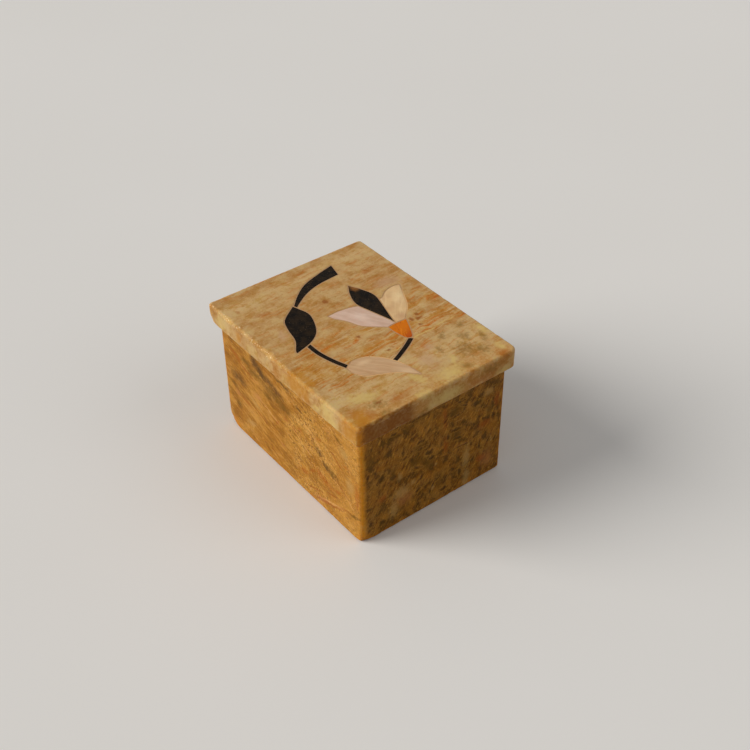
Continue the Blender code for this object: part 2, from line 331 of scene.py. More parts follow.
class Finish(Nodes):
    """A material under way: its Principled shader and the nodes that lead to it."""

    def __init__(self, name, **constants):
        self.material = bpy.data.materials.new(name)
        self.material.use_nodes = True
        super().__init__(self.material.node_tree)
        self.shader = self.tree.nodes["Principled BSDF"]
        self.turned = {}
        for socket, value in constants.items():
            self.shader.inputs[socket.replace("_", " ")].default_value = value

    def place(self):
        """The object's own coordinates, in millimetres."""
        metres = self.add("ShaderNodeTexCoord", {}, {}, "Object")
        return self.add("ShaderNodeVectorMath", {"operation": "SCALE"},
                        {0: metres, "Scale": MILLIMETRES})

    def kept(self, name):
        """A value that the mesh carries: how worn and how near an edge it is, which also places
        painted edge glow, or whether it lies inside the box.
        """
        return self.add("ShaderNodeAttribute", {"attribute_name": name}, {}, "Fac")

    def grain(self, at, lengths, turn):
        """Coordinates for a grain of these lengths along its own axes, turned by degrees."""
        return self.add("ShaderNodeMapping", {"vector_type": "TEXTURE"}, {
            "Vector": at, "Rotation": [math.radians(a) for a in turn], "Scale": lengths})

    def noise(self, at, scale, detail, roughness=0.5, output="Fac"):
        """Noise from 0 to 1 with this many finer layers, each as strong as the roughness."""
        return self.add("ShaderNodeTexNoise", {}, {
            "Vector": at, "Scale": scale, "Detail": detail, "Roughness": roughness}, output)

    def pebbles(self, at):
        """How far a place lies from the middle of the nearest of scattered pebbles."""
        return self.add("ShaderNodeTexVoronoi", {}, {"Vector": at, "Scale": 1.0}, "Distance")

    def stirred(self, at, scale, amount, detail=2.0):
        """Coordinates pushed about by soft noise, up to about half the amount each way."""
        push = self.noise(at, scale, detail, output="Color")
        centred = self.add("ShaderNodeVectorMath", {"operation": "SUBTRACT"},
                           {0: push, 1: (0.5, 0.5, 0.5)})
        return self.add("ShaderNodeVectorMath", {"operation": "MULTIPLY_ADD"},
                        {0: centred, 1: (amount, amount, amount), 2: at})

    def part(self, at, axis):
        """One of the three coordinates."""
        return self.add("ShaderNodeSeparateXYZ", {}, {0: at}, axis)

    def step(self, value, low, high):
        """A soft step from 0 at low to 1 at high; low may be the larger."""
        if low > high:
            return 1 - self.step(value, high, low)
        return self.add("ShaderNodeMapRange", {"interpolation_type": "SMOOTHSTEP"},
                        {"Value": value, "From Min": low, "From Max": high})

    def mix(self, share, first, second, blend="MIX"):
        """The first colour with a share of the second laid over it."""
        return self.add("ShaderNodeMix", {"data_type": "RGBA", "blend_type": blend},
                        {0: share, 6: first, 7: second}, 2)

    def ramp(self, share, stops):
        """A colour from stops of (place, colour), read at the share."""
        return self.add("ShaderNodeValToRGB", {"stops": stops}, {0: share}, "Color")

    def depth(self, at, places, ragged, amount):
        """How deep a place lies in the nearest of a set of spots: 1 at its middle, 0 at its rim
        and less outside. A spot is an ellipsoid of its own reach, turned by degrees, and a
        noise makes its rim ragged. Spots turned alike share one turned set of coordinates."""
        nearest = None
        for middle, reach, turn in places:
            if any(turn) and (at, turn) not in self.turned:
                self.turned[at, turn] = self.grain(at, (1, 1, 1), turn)
            own = Euler([math.radians(a) for a in turn]).to_matrix().inverted() @ Vector(middle)
            inside = self.add("ShaderNodeVectorMath", {"operation": "MULTIPLY_ADD"}, {
                0: self.turned.get((at, turn), at), 1: [1 / r for r in reach],
                2: [-m / r for m, r in zip(own, reach)]})
            length = self.add("ShaderNodeVectorMath", {"operation": "LENGTH"},
                              {0: inside}, "Value")
            nearest = length if nearest is None else nearest.or_less(length)
        return 1 - nearest + (ragged - 0.5) * amount

    def spots(self, at, places, ragged, amount, soft):
        """A soft step from 0 at the rim of a set of spots to 1 at this depth inside them."""
        return self.step(self.depth(at, places, ragged, amount), 0.0, soft)

    def relief(self, height, distance, strength):
        """Bump from a height of 0 to 1, over a distance in metres."""
        return self.add("ShaderNodeBump", {}, {
            "Height": height, "Distance": distance, "Strength": strength})

    def done(self, colour, roughness=None, normal=None, coat=None):
        """The material, with what varies over its surface led to the shader."""
        for socket, value in (("Base Color", colour), ("Roughness", roughness),
                              ("Normal", normal), ("Coat Weight", coat)):
            if value is not None:
                self.join(value, self.shader.inputs[socket])
        return self.material


# Where the marked surfaces lie, in millimetres, and how deep a mark goes. Tilts are whole
# steps of 18 degrees, so that marks share their turned coordinates.
FRONT, RIGHT, BROW, END, FACE = (MILLIMETRES * place for place in (
    body_low.y, body_high.x, lid_low.y, lid_high.x, lid_high.z))
SPOT_DEPTH = 1.8


def on_front(*spots):
    """Spots on the body's front: (x, z, reach along, reach across, tilt in degrees)."""
    return [((x, FRONT, z), (a, SPOT_DEPTH, b), (0, -t, 0)) for x, z, a, b, t in spots]


def on_right(*spots):
    """Spots on the body's right side: (y, z, reach along, reach across, tilt in degrees)."""
    return [((RIGHT, y, z), (SPOT_DEPTH, a, b), (t, 0, 0)) for y, z, a, b, t in spots]


def on_top(*spots):
    """Spots on the lid's face: (x, y, reach along, reach across, tilt in degrees)."""
    return [((x, y, FACE), (a, b, SPOT_DEPTH), (0, 0, t)) for x, y, a, b, t in spots]


def on_end(*spots):
    """Spots on the lid's right end: (y, z, reach along, reach across, tilt in degrees)."""
    return [((END, y, z), (SPOT_DEPTH, a, b), (t, 0, 0)) for y, z, a, b, t in spots]


def on_brow(*spots):
    """Spots on the lid's front: (x, z, reach along, reach across, tilt in degrees)."""
    return [((x, BROW, z), (a, SPOT_DEPTH, b), (0, -t, 0)) for x, z, a, b, t in spots]


# Marks in the body's stone, in millimetres from the middle of its foot
SMOKE_AND_SHADOW_STREAKS = on_front(
    (-11.6, 23.9, 2.2, 2.0, 0), (-9.2, 22.6, 3.6, 1.8, -36), (-6.2, 21.8, 4.2, 1.5, -18),
    # At (-1.2, 24.4), just under the lid: partly a dark streak and partly a painted shadow of the
    # lid's overhang.
    (-3.6, 21.2, 3.2, 1.0, -18), (-1.2, 24.4, 5.6, 0.7, 0), (4.4, 21.3, 1.8, 0.8, 0),
    (11.0, 14.6, 1.6, 1.6, 0), (13.0, 12.7, 2.2, 0.8, -18), (-18.6, 15.5, 4.2, 2.2, 0))
OLIVE_BLOTS_AND_LID_SHADOW = on_front(
    (-7.0, 17.9, 2.6, 1.6, 0), (-0.9, 18.4, 4.0, 1.9, 0), (-4.0, 18.8, 7.0, 1.2, 0),
    (14.6, 12.3, 3.4, 1.5, -18), (-19.3, 8.0, 1.7, 1.4, 0), (-11.6, 20.6, 4.6, 1.6, 0),
    (-5.2, 19.9, 6.4, 1.7, 0), (21.9, 5.9, 2.8, 0.7, 18), (-14.8, 22.0, 3.2, 1.2, 0),
    (17.0, 22.6, 2.2, 0.6, -18), (-20.6, 12.8, 2.4, 0.7, 0), (-9.4, 22.4, 4.2, 2.0, -36),
) + on_right(
    (-3.4, 17.8, 2.6, 2.0, 18), (-4.4, 14.0, 3.4, 2.9, 0), (-1.6, 11.8, 2.1, 1.7, 0),
    (5.4, 15.9, 3.5, 3.3, -18), (11.0, 20.9, 2.8, 1.9, 0), (-10.2, 14.7, 1.1, 2.0, 0),
    (-10.2, 23.8, 2.6, 1.5, 0), (-6.6, 24.2, 2.4, 1.3, 0), (1.4, 5.2, 1.3, 1.9, 0),
    # At (-3.4, 24.9) on the right side: a painted shadow band under the lid's overhang.
    (-3.4, 24.9, 6.0, 0.7, 0), (16.4, 9.1, 1.0, 0.7, 0), (-13.0, 14.6, 1.7, 1.4, 0),
    (5.2, 21.8, 3.6, 2.6, 0), (14.4, 17.6, 1.6, 2.2, 0), (-15.6, 20.4, 1.5, 2.6, 0),
    (7.1, 5.0, 0.8, 2.2, 0), (-13.2, 3.0, 1.3, 1.2, 0))
DARK_LENSES_AND_LID_SHADOW = on_right(
    (-5.4, 20.7, 1.5, 0.6, 18), (-7.3, 16.8, 1.2, 0.5, 0), (-3.4, 18.9, 1.2, 0.45, 0),
    (-3.1, 17.0, 1.3, 0.4, 0), (-1.2, 14.9, 1.0, 0.75, 0), (-0.6, 13.2, 0.8, 0.4, 0),
    (-13.2, 14.6, 1.3, 0.8, 36), (-4.4, 12.6, 1.4, 0.5, -18), (-3.4, 9.2, 1.5, 0.5, 36),
    (-4.0, 6.4, 0.8, 0.55, 0), (2.7, 2.8, 1.4, 0.5, 0), (0.9, 6.6, 1.3, 0.36, 36),
    (-0.3, 5.4, 1.1, 0.32, 54), (-0.8, 4.0, 1.1, 0.32, 90), (5.2, 17.3, 1.8, 0.5, -18),
    (3.6, 16.2, 0.5, 0.9, 0), (6.3, 14.6, 1.6, 0.4, 0), (2.6, 20.6, 1.1, 0.4, 36),
    (6.4, 23.8, 1.6, 0.3, 0), (5.6, 20.7, 1.5, 0.3, 0), (7.4, 22.4, 1.1, 0.3, -18),
    (10.7, 21.1, 1.4, 0.8, 0), (12.1, 9.9, 0.4, 1.4, 0), (6.9, 5.2, 0.4, 1.4, 0),
    (-13.0, 3.0, 0.8, 0.7, 0), (-9.9, 24.4, 0.9, 0.4, 0), (16.2, 9.1, 0.7, 0.4, 54),
    # At (-3.4, 25.3) on the right side: a painted shadow line under the lid's overhang.
    (-3.4, 25.3, 4.6, 0.35, 0), (7.2, 12.0, 3.8, 0.22, 0), (15.6, 15.6, 0.6, 1.2, 0),
) + on_front(
    (6.6, 22.5, 0.5, 0.38, 0), (8.0, 21.5, 0.9, 0.36, 18), (0.5, 13.7, 0.5, 0.3, 36),
    (1.6, 11.1, 0.45, 0.4, 0), (7.8, 11.9, 0.65, 0.32, 0), (-19.9, 24.9, 2.2, 0.22, 0),
    (3.9, 15.8, 0.9, 0.35, -18), (11.0, 14.6, 0.6, 0.7, 0))
RUST_STAINS = on_front(
    (4.1, 16.2, 1.8, 0.9, 0), (-4.3, 12.4, 1.6, 0.4, 54), (10.6, 18.3, 1.6, 0.7, 18),
    (-1.0, 15.6, 1.4, 0.6, 18), (16.5, 8.5, 2.0, 0.8, 18), (8.0, 8.2, 1.6, 0.6, 36),
    (19.6, 17.2, 1.8, 0.6, 0), (-16.0, 10.6, 3.4, 0.8, -18), (22.8, 12.0, 1.1, 4.8, 0),
    (-19.0, 21.6, 3.4, 0.8, -18), (12.0, 8.6, 4.6, 1.4, -18), (5.0, 6.0, 2.4, 1.0, 18),
) + on_right(
    (2.6, 21.5, 0.9, 4.2, 0), (3.0, 14.6, 1.0, 3.4, 0), (13.2, 14.6, 2.6, 1.6, 0),
    (16.2, 19.6, 1.2, 2.6, 0), (12.6, 5.6, 2.2, 1.2, 0), (-13.0, 9.4, 1.6, 1.4, 0))
PALE_PATCHES = on_front(
    (2.5, 22.9, 0.75, 0.45, 0), (5.4, 11.9, 1.0, 0.4, -18), (7.1, 18.0, 0.9, 0.35, 0),
    (12.9, 17.6, 0.28, 1.2, 0), (9.2, 24.0, 1.1, 0.4, 0), (24.0, 4.3, 0.7, 0.9, 0),
    (-23.0, 3.0, 1.5, 2.5, 0), (-14.5, 5.5, 3.0, 1.2, 18), (2.2, 11.6, 0.35, 0.3, 0),
    (-12.6, 12.4, 3.4, 0.7, -18), (9.0, 21.6, 0.4, 0.4, 0), (19.0, 20.4, 2.6, 1.6, -18),
    (20.6, 13.0, 1.8, 3.0, 0),
) + on_right(
    (-5.2, 9.3, 1.2, 1.0, 0), (-8.2, 8.4, 3.2, 2.2, 0), (-10.2, 4.6, 1.6, 3.2, 0),
    (8.6, 8.2, 1.4, 4.2, 0), (8.8, 2.6, 1.5, 3.4, 0), (14.0, 22.6, 1.9, 1.3, 0),
    (-0.2, 4.8, 0.7, 0.9, 0), (9.1, 11.4, 0.8, 0.3, 0), (6.4, 19.2, 2.2, 0.16, 0),
    (5.0, 22.6, 1.4, 0.14, 0), (15.3, 9.3, 0.22, 1.3, 18), (0.6, 10.9, 0.5, 0.7, 0),
    (-8.6, 12.6, 1.0, 1.4, 0))
RUST_VEINS = on_front(
    (12.6, 2.7, 8.0, 0.42, 18), (18.4, 5.2, 4.0, 0.34, 18), (8.6, 3.6, 4.0, 0.30, 18),
    (15.0, 6.4, 3.4, 0.26, 18), (-15.2, 19.6, 5.0, 0.34, -18), (-10.2, 10.2, 4.4, 0.3, -18),
    (17.6, 10.6, 3.6, 0.26, -36), (16.4, 16.8, 3.8, 0.26, -36), (2.2, 14.9, 3.4, 0.24, -18),
)
PALE_VEINS = on_front(
    (13.8, 3.7, 7.0, 0.32, 18), (6.0, 12.6, 3.4, 0.26, -18), (10.4, 16.6, 3.2, 0.26, -36),
    (7.4, 18.6, 3.0, 0.24, -18), (20.4, 8.4, 3.0, 0.28, -36), (-6.6, 13.6, 4.0, 0.3, -18),
)
ROSE_CLOUDS = on_front(
    (-11.0, 14.9, 2.2, 1.4, 0), (-19.2, 11.0, 1.2, 1.4, 0), (-2.6, 7.8, 1.4, 0.8, 0),
    (11.0, 2.4, 4.4, 1.0, 18),
) + on_right(
    (-7.6, 6.2, 3.4, 2.6, 0), (14.2, 4.6, 2.6, 3.4, 0), (8.4, 12.2, 3.4, 0.2, 0))


def body_stone():
    """Ochre marble: falling fibres and soft clouds on the long sides, a crackled right half with
    painted glints, an end darker partly in its stone and partly as painted shade, leaning fibres,
    olive blots, rimmed lens marks, stains, thin veins, a painted shadow under the lid, and edges
    paler partly where worn and partly as painted glow, with a stronger painted glow at the front
    right corner. Inside, the stone is unpolished and shows the tool."""
    f = Finish("ochre_marble", Specular_IOR_Level=0.09, Subsurface_Weight=0.3,
               Subsurface_Radius=(1.0, 0.4, 0.1), Subsurface_Scale=0.0009, Coat_Roughness=0.18)
    at = f.place()
    drift = f.stirred(at, 0.22, 2.6)
    fine = f.stirred(at, 1.3, 0.7, 3)
    wander = f.stirred(at, 0.7, 1.0, 3)
    ragged = f.noise(at, 1.5, 5, 0.66)
    x, y = f.part(at, "X"), f.part(at, "Y")
    end = f.step(x, 22.9, 23.8) * f.step(y, -17.9, -16.6)

    slow = f.noise(drift, 0.12, 3)
    colour = f.mix(f.step(slow, 0.38, 0.62), tone(176, 116, 30), tone(198, 140, 54))
    colour = f.mix(f.step(x, 6, -20) * 0.3, colour, tone(162, 104, 26))
    cloud = f.noise(f.grain(drift, (5.0, 3.4, 2.2), (0, 13, 0)), 1.0, 5, 0.6)
    colour = f.mix(f.step(cloud, 0.50, 0.64) * 0.6, colour, tone(214, 158, 78))
    colour = f.mix(f.step(cloud, 0.49, 0.35) * 0.7, colour, tone(146, 92, 16))
    fibre = f.noise(f.grain(fine, (3.2, 1.4, 0.7), (0, 13, 0)), 1.0, 6, 0.66)
    leaning = f.noise(f.grain(fine, (0.7, 0.45, 1.5), (-28, 0, 0)), 1.0, 5, 0.66)
    fibre = fibre * (1 - end) + leaning * end
    colour = f.mix(f.step(fibre, 0.51, 0.66) * 0.6, colour, tone(216, 160, 74))
    colour = f.mix(f.step(fibre, 0.48, 0.33) * 0.65, colour, tone(130, 76, 10))

    granular = f.step(x + (slow - 0.5) * 30, -5, 6) * (1 - end * 0.5)
    clustered = granular * (0.25 + f.step(cloud, 0.40, 0.56) * 0.75)
    grit = f.noise(wander, 1.5, 6, 0.72)
    colour = f.mix(f.step(grit, 0.53, 0.66) * (0.2 + granular * 0.4), colour, tone(224, 170, 84))
    colour = f.mix(f.step(grit, 0.46, 0.33) * (0.25 + granular * 0.25), colour, tone(122, 70, 12))
    wavy = f.grain(f.stirred(at, 0.9, 1.3, 3), (1.8, 1.2, 1.0), (0, 24, 0))
    crackle = f.noise(wavy, 1.15, 3, 0.5) - 0.5
    crack = f.step(crackle * crackle, 0.0018, 0.0002) * clustered * f.step(ragged, 0.45, 0.55)
    colour = f.mix(crack * 0.75, colour, tone(110, 56, 8))
    # Painted glints: bright wavy lines painted where the crackle's relief would catch the light.
    bright = f.noise(wavy, 1.4, 3, 0.5) - 0.5
    glint = f.step(bright * bright, 0.0016, 0.0002) * clustered * f.step(ragged, 0.54, 0.44)
    colour = f.mix(glint * 0.65, colour, tone(240, 190, 106))

    olive_net = f.noise(drift, 0.42, 5, 0.62)
    colour = f.mix(f.step(x, 9, 18) * (1 - end) * 0.3, colour, tone(212, 150, 66))
    # The end is darkened partly for its darker stone and partly as painted shade for the shade it
    # lies in.
    colour = f.mix(end * 0.55, colour, tone(124, 76, 2))
    colour = f.mix(f.step(olive_net, 0.50, 0.60) * end * 0.7, colour, tone(84, 56, 2))
    colour = f.mix(f.step(olive_net, 0.46, 0.36) * end * 0.45, colour, tone(186, 120, 34))
    colour = f.mix(f.step(fibre, 0.55, 0.68) * end * 0.7, colour, tone(214, 150, 54))
    colour = f.mix(f.step(fibre, 0.46, 0.34) * end * 0.6, colour, tone(66, 36, 2))

    rust = f.spots(wander, RUST_STAINS, ragged, 1.2, 0.8)
    colour = f.mix(rust * 0.5, colour, tone(172, 84, 8))
    colour = f.mix(f.spots(fine, RUST_VEINS, ragged, 1.0, 0.6) * 0.6, colour, tone(158, 74, 8))
    colour = f.mix(f.spots(fine, PALE_VEINS, ragged, 1.0, 0.6) * 0.6, colour, tone(228, 172, 104))
    rose = f.spots(wander, ROSE_CLOUDS, ragged, 1.3, 0.9)
    colour = f.mix(rose * 0.45, colour, tone(192, 124, 72))
    pale = f.spots(wander, PALE_PATCHES, ragged, 1.6, 0.8)
    colour = f.mix(pale * 0.55, colour, tone(200, 158, 92))
    # Olive blots, with the painted shadow band under the lid on the right side.
    olive = f.spots(wander, OLIVE_BLOTS_AND_LID_SHADOW, ragged, 1.6, 0.9)
    colour = f.mix(olive * 0.7, colour, tone(108, 74, 6))
    # Smoky streaks; the one just under the lid is partly painted shadow.
    smoke_and_shadow = f.spots(drift, SMOKE_AND_SHADOW_STREAKS, ragged, 1.4, 1.0)
    colour = f.mix(smoke_and_shadow * 0.8, colour, tone(88, 56, 20))
    # Lens marks, with the painted shadow line under the lid on the right side.
    marks = f.depth(wander, DARK_LENSES_AND_LID_SHADOW, ragged, 2.2)
    rim = f.step(marks, -0.7, -0.25) * f.step(marks, 0.1, -0.2)
    colour = f.mix(rim * 0.3, colour, tone(206, 148, 62))
    lens = f.step(marks, 0.0, 0.9)
    hidden = f.step(y, -16, -13) * f.step(x, 22, 19)
    pebbles = f.pebbles(f.grain(drift, (2.6, 2.6, 1.5), (10, 24, 0)))
    lens = lens.or_more(f.step(pebbles + (ragged - 0.5) * 0.7, 0.24, 0.05) * hidden)
    colour = f.mix(lens * 0.6, colour, tone(66, 42, 4))

    wear, inner = f.kept("wear"), f.kept("inner")
    # Edges paler and more orange: partly worn stone and partly a painted glow where light comes
    # through the stone's edges.
    colour = f.mix(wear * 0.5, colour, tone(228, 144, 40))
    # Painted glow: the front right upright corner is painted bright orange for light shining
    # through the stone there.
    glow = f.step(x, 23.6, 23.95) * f.step(y + (grit - 0.5) * 1.6, -16.4, -18.2)
    colour = f.mix(glow * 0.75, colour, tone(250, 164, 30))
    tool = f.noise(f.grain(at, (9, 9, 0.35), (3, 2, 0)), 1.0, 3, 0.6)
    colour = f.mix(inner * (0.35 + f.step(tool, 0.45, 0.6) * 0.2), colour, tone(206, 162, 102))
    height = fibre * 0.5 + grit * 0.5 - lens * 0.4 - crack * 0.5 + tool * inner * 0.8
    return f.done(colour, 0.38 + ragged * 0.16 + wear * 0.12 + inner * 0.2,
                  f.relief(height, 0.00016, 0.7), f.step(grit, 0.58, 0.7) * (0.1 + wear * 0.5))


# The lid's stone: its tones, and where they lie along it in millimetres
CREAM, SAND, HONEY = tone(210, 173, 117), tone(200, 158, 101), tone(191, 145, 87)
OCHRE, AMBER = tone(196, 142, 74), tone(194, 136, 55)
LID_BANDS = (
    (-26.0, HONEY), (-23.8, HONEY), (-22.0, SAND), (-20.4, CREAM), (-18.6, SAND),
    (-15.8, SAND), (-14.4, HONEY), (-12.6, SAND), (-11.2, HONEY), (-8.0, HONEY),
    (-6.0, SAND), (-4.2, HONEY), (-2.2, SAND), (-0.6, OCHRE), (0.8, HONEY), (2.2, AMBER),
    (3.8, SAND), (5.6, HONEY), (7.6, AMBER), (8.8, OCHRE), (9.8, CREAM), (10.8, OCHRE),
    (12.2, HONEY), (14.0, SAND), (16.2, CREAM), (18.8, CREAM), (21.0, SAND), (26.0, OCHRE))
FRONT_BANDS = (
    (-26.0, HONEY), (-23.6, HONEY), (-21.8, CREAM), (-19.4, CREAM), (-17.2, SAND),
    (-14.6, HONEY), (-10.6, SAND), (-8.4, HONEY), (-6.2, SAND), (-3.6, HONEY), (-1.6, OCHRE),
    (1.8, HONEY), (3.6, AMBER), (8.4, AMBER), (10.4, HONEY), (12.6, SAND), (14.6, CREAM),
    (17.0, CREAM), (18.6, SAND), (20.2, OCHRE), (22.0, AMBER), (26.0, AMBER))
BAND_REACH = 26.0

LID_OLIVE = on_top(
    (19.2, 11.4, 3.2, 3.4, 18), (15.8, 14.2, 2.2, 1.6, 0), (21.4, 14.0, 2.4, 1.8, 18),
    (13.2, 10.6, 1.6, 1.1, -36), (21.9, -12.4, 1.7, 2.6, -18), (18.2, 16.8, 2.6, 0.9, -18),
    (16.4, 7.4, 2.0, 1.0, -18), (23.4, 8.4, 1.1, 1.8, 0), (12.4, 16.0, 1.0, 2.0, 0),
    (24.6, -12.6, 1.0, 2.0, 0)) + on_end((12.5, 29.4, 4.5, 2.2, 0), (-4.4, 27.6, 2.6, 1.0, 0))
LID_RUST = on_top(
    (-10.5, -0.6, 1.2, 1.1, 0), (4.2, 11.3, 0.9, 0.7, 0), (5.8, 11.0, 0.8, 1.3, 0),
    (5.1, 9.5, 1.0, 0.6, 0), (7.7, 9.7, 0.7, 0.7, 0), (10.4, -0.9, 0.6, 1.0, 0),
    (9.9, 0.7, 0.6, 0.8, 0), (3.2, -2.6, 0.9, 0.7, 0), (21.6, -17.4, 2.2, 1.5, 0),
    (-18.7, -16.6, 1.0, 0.8, 0), (-14.4, 12.8, 1.2, 2.4, 18), (-2.8, 17.9, 1.0, 1.7, 0),
    (-14.8, -13.0, 0.9, 2.6, 0), (22.8, -8.0, 1.8, 3.2, 0), (24.6, 16.4, 1.4, 2.4, 0),
    (6.6, 4.4, 1.3, 0.6, 18), (-22.6, 1.0, 0.7, 2.6, 0), (0.2, -12.2, 1.1, 2.6, 0),
    (23.4, -15.0, 2.0, 2.0, 0)) + on_end((11.0, 28.4, 6.0, 1.6, 0))
LID_BRIGHT = on_top(
    (23.2, 4.4, 2.8, 5.6, 18), (24.6, -3.4, 1.4, 3.2, 0), (18.6, -13.6, 2.2, 5.4, -18),
    (20.8, -1.6, 3.2, 1.5, 18), (16.2, 18.4, 2.6, 1.5, 0), (10.2, 8.4, 0.3, 6.0, 0),
    (9.7, 14.0, 0.3, 4.6, 0), (11.0, 2.0, 0.28, 4.0, 0), (20.4, 7.4, 2.6, 1.2, -36),
    (22.6, 17.4, 2.4, 1.2, 0),
) + on_end((1.5, 28.8, 6.5, 2.4, 0), (15.5, 28.0, 3.0, 1.2, 0)) + on_brow(
    (16.2, 29.6, 3.4, 3.6, 0), (17.8, 27.8, 3.2, 2.0, 0), (12.8, 28.4, 2.0, 1.4, 0),
    (-21.0, 29.0, 2.6, 2.2, 0))
LID_DOTS = on_top(
    (-10.7, -0.6, 1.0, 0.9, 0), (4.3, 11.4, 0.7, 0.5, 0), (5.7, 10.8, 0.7, 1.0, 0),
    (5.2, 9.4, 0.9, 0.5, 0), (7.6, 9.8, 0.5, 0.5, 0), (10.3, -0.4, 0.4, 0.8, 0),
    (3.2, -2.4, 0.6, 0.5, 0), (21.6, -11.8, 0.5, 1.0, 0))
LID_AMBER = on_brow(
    (22.8, 29.2, 3.6, 3.8, 0), (5.6, 29.6, 5.4, 2.4, 0), (-14.2, 29.0, 1.4, 2.0, 0),
    (-25.0, 29.6, 1.2, 3.0, 0)) + on_top((23.4, -17.0, 3.6, 2.2, 0), (8.0, -18.2, 4.0, 1.0, 0))
LID_ROSE = on_top(
    (17.2, 3.4, 3.8, 3.0, 0), (14.6, 6.0, 1.8, 1.6, 0), (-8.6, 14.0, 2.6, 5.0, 0),
    (-6.4, -14.0, 3.2, 1.4, -18), (-0.8, 0.6, 2.0, 3.0, 0))


def lid_stone():
    """Banded marble: cream and ochre bands across the lid and down its front, thin orange
    threads among them, an olive-stained end, a deep amber corner, edges paler partly where worn
    and partly as painted highlight, painted glints along the front edge and a painted glow at the
    front right corner."""
    f = Finish("banded_marble", Specular_IOR_Level=0.12, Subsurface_Weight=0.2,
               Subsurface_Radius=(1.0, 0.5, 0.2), Subsurface_Scale=0.0008, Coat_Roughness=0.16)
    at = f.place()
    drift = f.stirred(at, 0.20, 2.0)
    fine = f.stirred(at, 1.3, 0.8, 3)
    wander = f.stirred(at, 0.6, 1.4, 3)
    ragged = f.noise(at, 1.5, 4, 0.62)
    x, y = f.part(drift, "X"), f.part(drift, "Y")
    along = (x + y * 0.06 + (ragged - 0.5) * 2.4) * (0.5 / BAND_REACH) + 0.5
    bands, front = (f.ramp(along, [((u / BAND_REACH + 1) / 2, stone) for u, stone in table])
                    for table in (LID_BANDS, FRONT_BANDS))
    colour = f.mix(f.step(y, -9.5, -17.5), bands, front)

    face = f.step(f.part(at, "Y"), -19.0, -17.0) * f.step(f.part(at, "X"), 25.0, 24.0)
    blotch = f.noise(fine, 0.38, 4, 0.6)
    deeper = (0.86, 0.74, 0.46, 1.0)
    colour = f.mix(f.step(blotch, 0.51, 0.62) * (0.5 - face * 0.25), colour, tone(214, 182, 116))
    colour = f.mix(f.step(blotch, 0.48, 0.38) * (0.9 - face * 0.4), colour, deeper, "MULTIPLY")
    threads = f.noise(f.grain(drift, (0.6, 8, 4), (0, 0, 3.4)), 1.0, 5, 0.64)
    middle = (f.step(x, -6, 3) * f.step(x, 17, 10) * 0.55 + 0.4) * face
    colour = f.mix(f.step(threads, 0.53, 0.63) * middle * 1.1, colour, tone(198, 114, 32))
    colour = f.mix(f.step(threads, 0.46, 0.36) * middle * 0.75, colour, tone(214, 184, 136))
    cloud = f.noise(f.grain(fine, (1.7, 3.0, 1.7), (0, 0, 3.4)), 1.0, 5, 0.62)
    colour = f.mix(f.step(cloud, 0.50, 0.64) * 0.5, colour, tone(213, 182, 126))
    colour = f.mix(f.step(cloud, 0.49, 0.36) * 0.9, colour, deeper, "MULTIPLY")
    fleck = f.noise(fine, 2.4, 3, 0.62)
    colour = f.mix(f.step(fleck, 0.57, 0.72) * 0.5, colour, tone(176, 110, 26))
    colour = f.mix(f.step(fleck, 0.43, 0.30) * 0.3, colour, tone(224, 190, 130))

    rose = f.spots(drift, LID_ROSE, ragged, 1.0, 0.9)
    colour = f.mix(rose * 0.6, colour, tone(204, 164, 126))
    bright = f.spots(wander, LID_BRIGHT, ragged, 1.6, 0.9)
    colour = f.mix(bright * 0.75, colour, tone(219, 189, 116))
    olive = f.spots(wander, LID_OLIVE, ragged, 2.2, 1.1)
    colour = f.mix(olive * 0.7, colour, tone(142, 104, 40))
    rust = f.spots(wander, LID_RUST, ragged, 1.6, 0.9)
    colour = f.mix(rust * 0.6, colour, tone(176, 104, 34))
    dots = f.spots(fine, LID_DOTS, ragged, 0.9, 0.7)
    colour = f.mix(dots * 0.7, colour, tone(146, 82, 30))
    amber = f.spots(drift, LID_AMBER, ragged, 1.0, 0.7)
    colour = f.mix(amber * 0.6, colour, tone(198, 134, 40))
    corner = f.step(f.part(at, "X"), 24.9, 25.4) * f.step(y, -5.0, -8.0)
    colour = f.mix(corner * (0.85 + (ragged - 0.5) * 0.9), colour, tone(134, 76, 0))

    wear, inner = f.kept("wear"), f.kept("inner")
    # Paler edges: partly chipped stone and partly a painted highlight along the eased edges.
    chips = f.step(wear + (fleck - 0.5) * 0.6, 0.2, 0.9)
    colour = f.mix(chips * 0.4, colour, tone(230, 182, 104))
    # Painted glints: bright specks painted along the front top edge in place of highlights.
    brow = f.step(f.part(at, "Y"), -18.9, -19.2) * f.step(f.part(at, "X"), 9, -4)
    painted_glints = f.step(f.noise(at, 2.6, 2, 0.5), 0.58, 0.70) * f.step(wear, 0.2, 0.3) * brow
    colour = f.mix(painted_glints * 0.8, colour, tone(255, 232, 184))
    # Painted glow: the right end by the front corner is painted bright orange for light shining
    # through the edge.
    lit = f.part(at, "Y") + (ragged - 0.5) * 1.6
    glow = f.step(f.part(at, "X"), 25.0, 25.45) * f.step(lit, -17.6, -19.6)
    colour = f.mix(glow * 0.7, colour, tone(246, 158, 36))
    tool = f.noise(f.grain(at, (14, 0.4, 0.4), (0, 0, 28)), 1.0, 3, 0.6)
    colour = f.mix(inner * (0.25 + f.step(tool, 0.45, 0.6) * 0.2), colour, tone(206, 170, 118))
    height = cloud * 0.4 + fleck * 0.4 + tool * inner * 0.8
    return f.done(colour, 0.34 + ragged * 0.16 + wear * 0.1 + inner * 0.2,
                  f.relief(height, 0.00006, 0.5),
                  f.step(fleck, 0.5, 0.62) * f.step(wear, 0.12, 0.3) * 0.9)


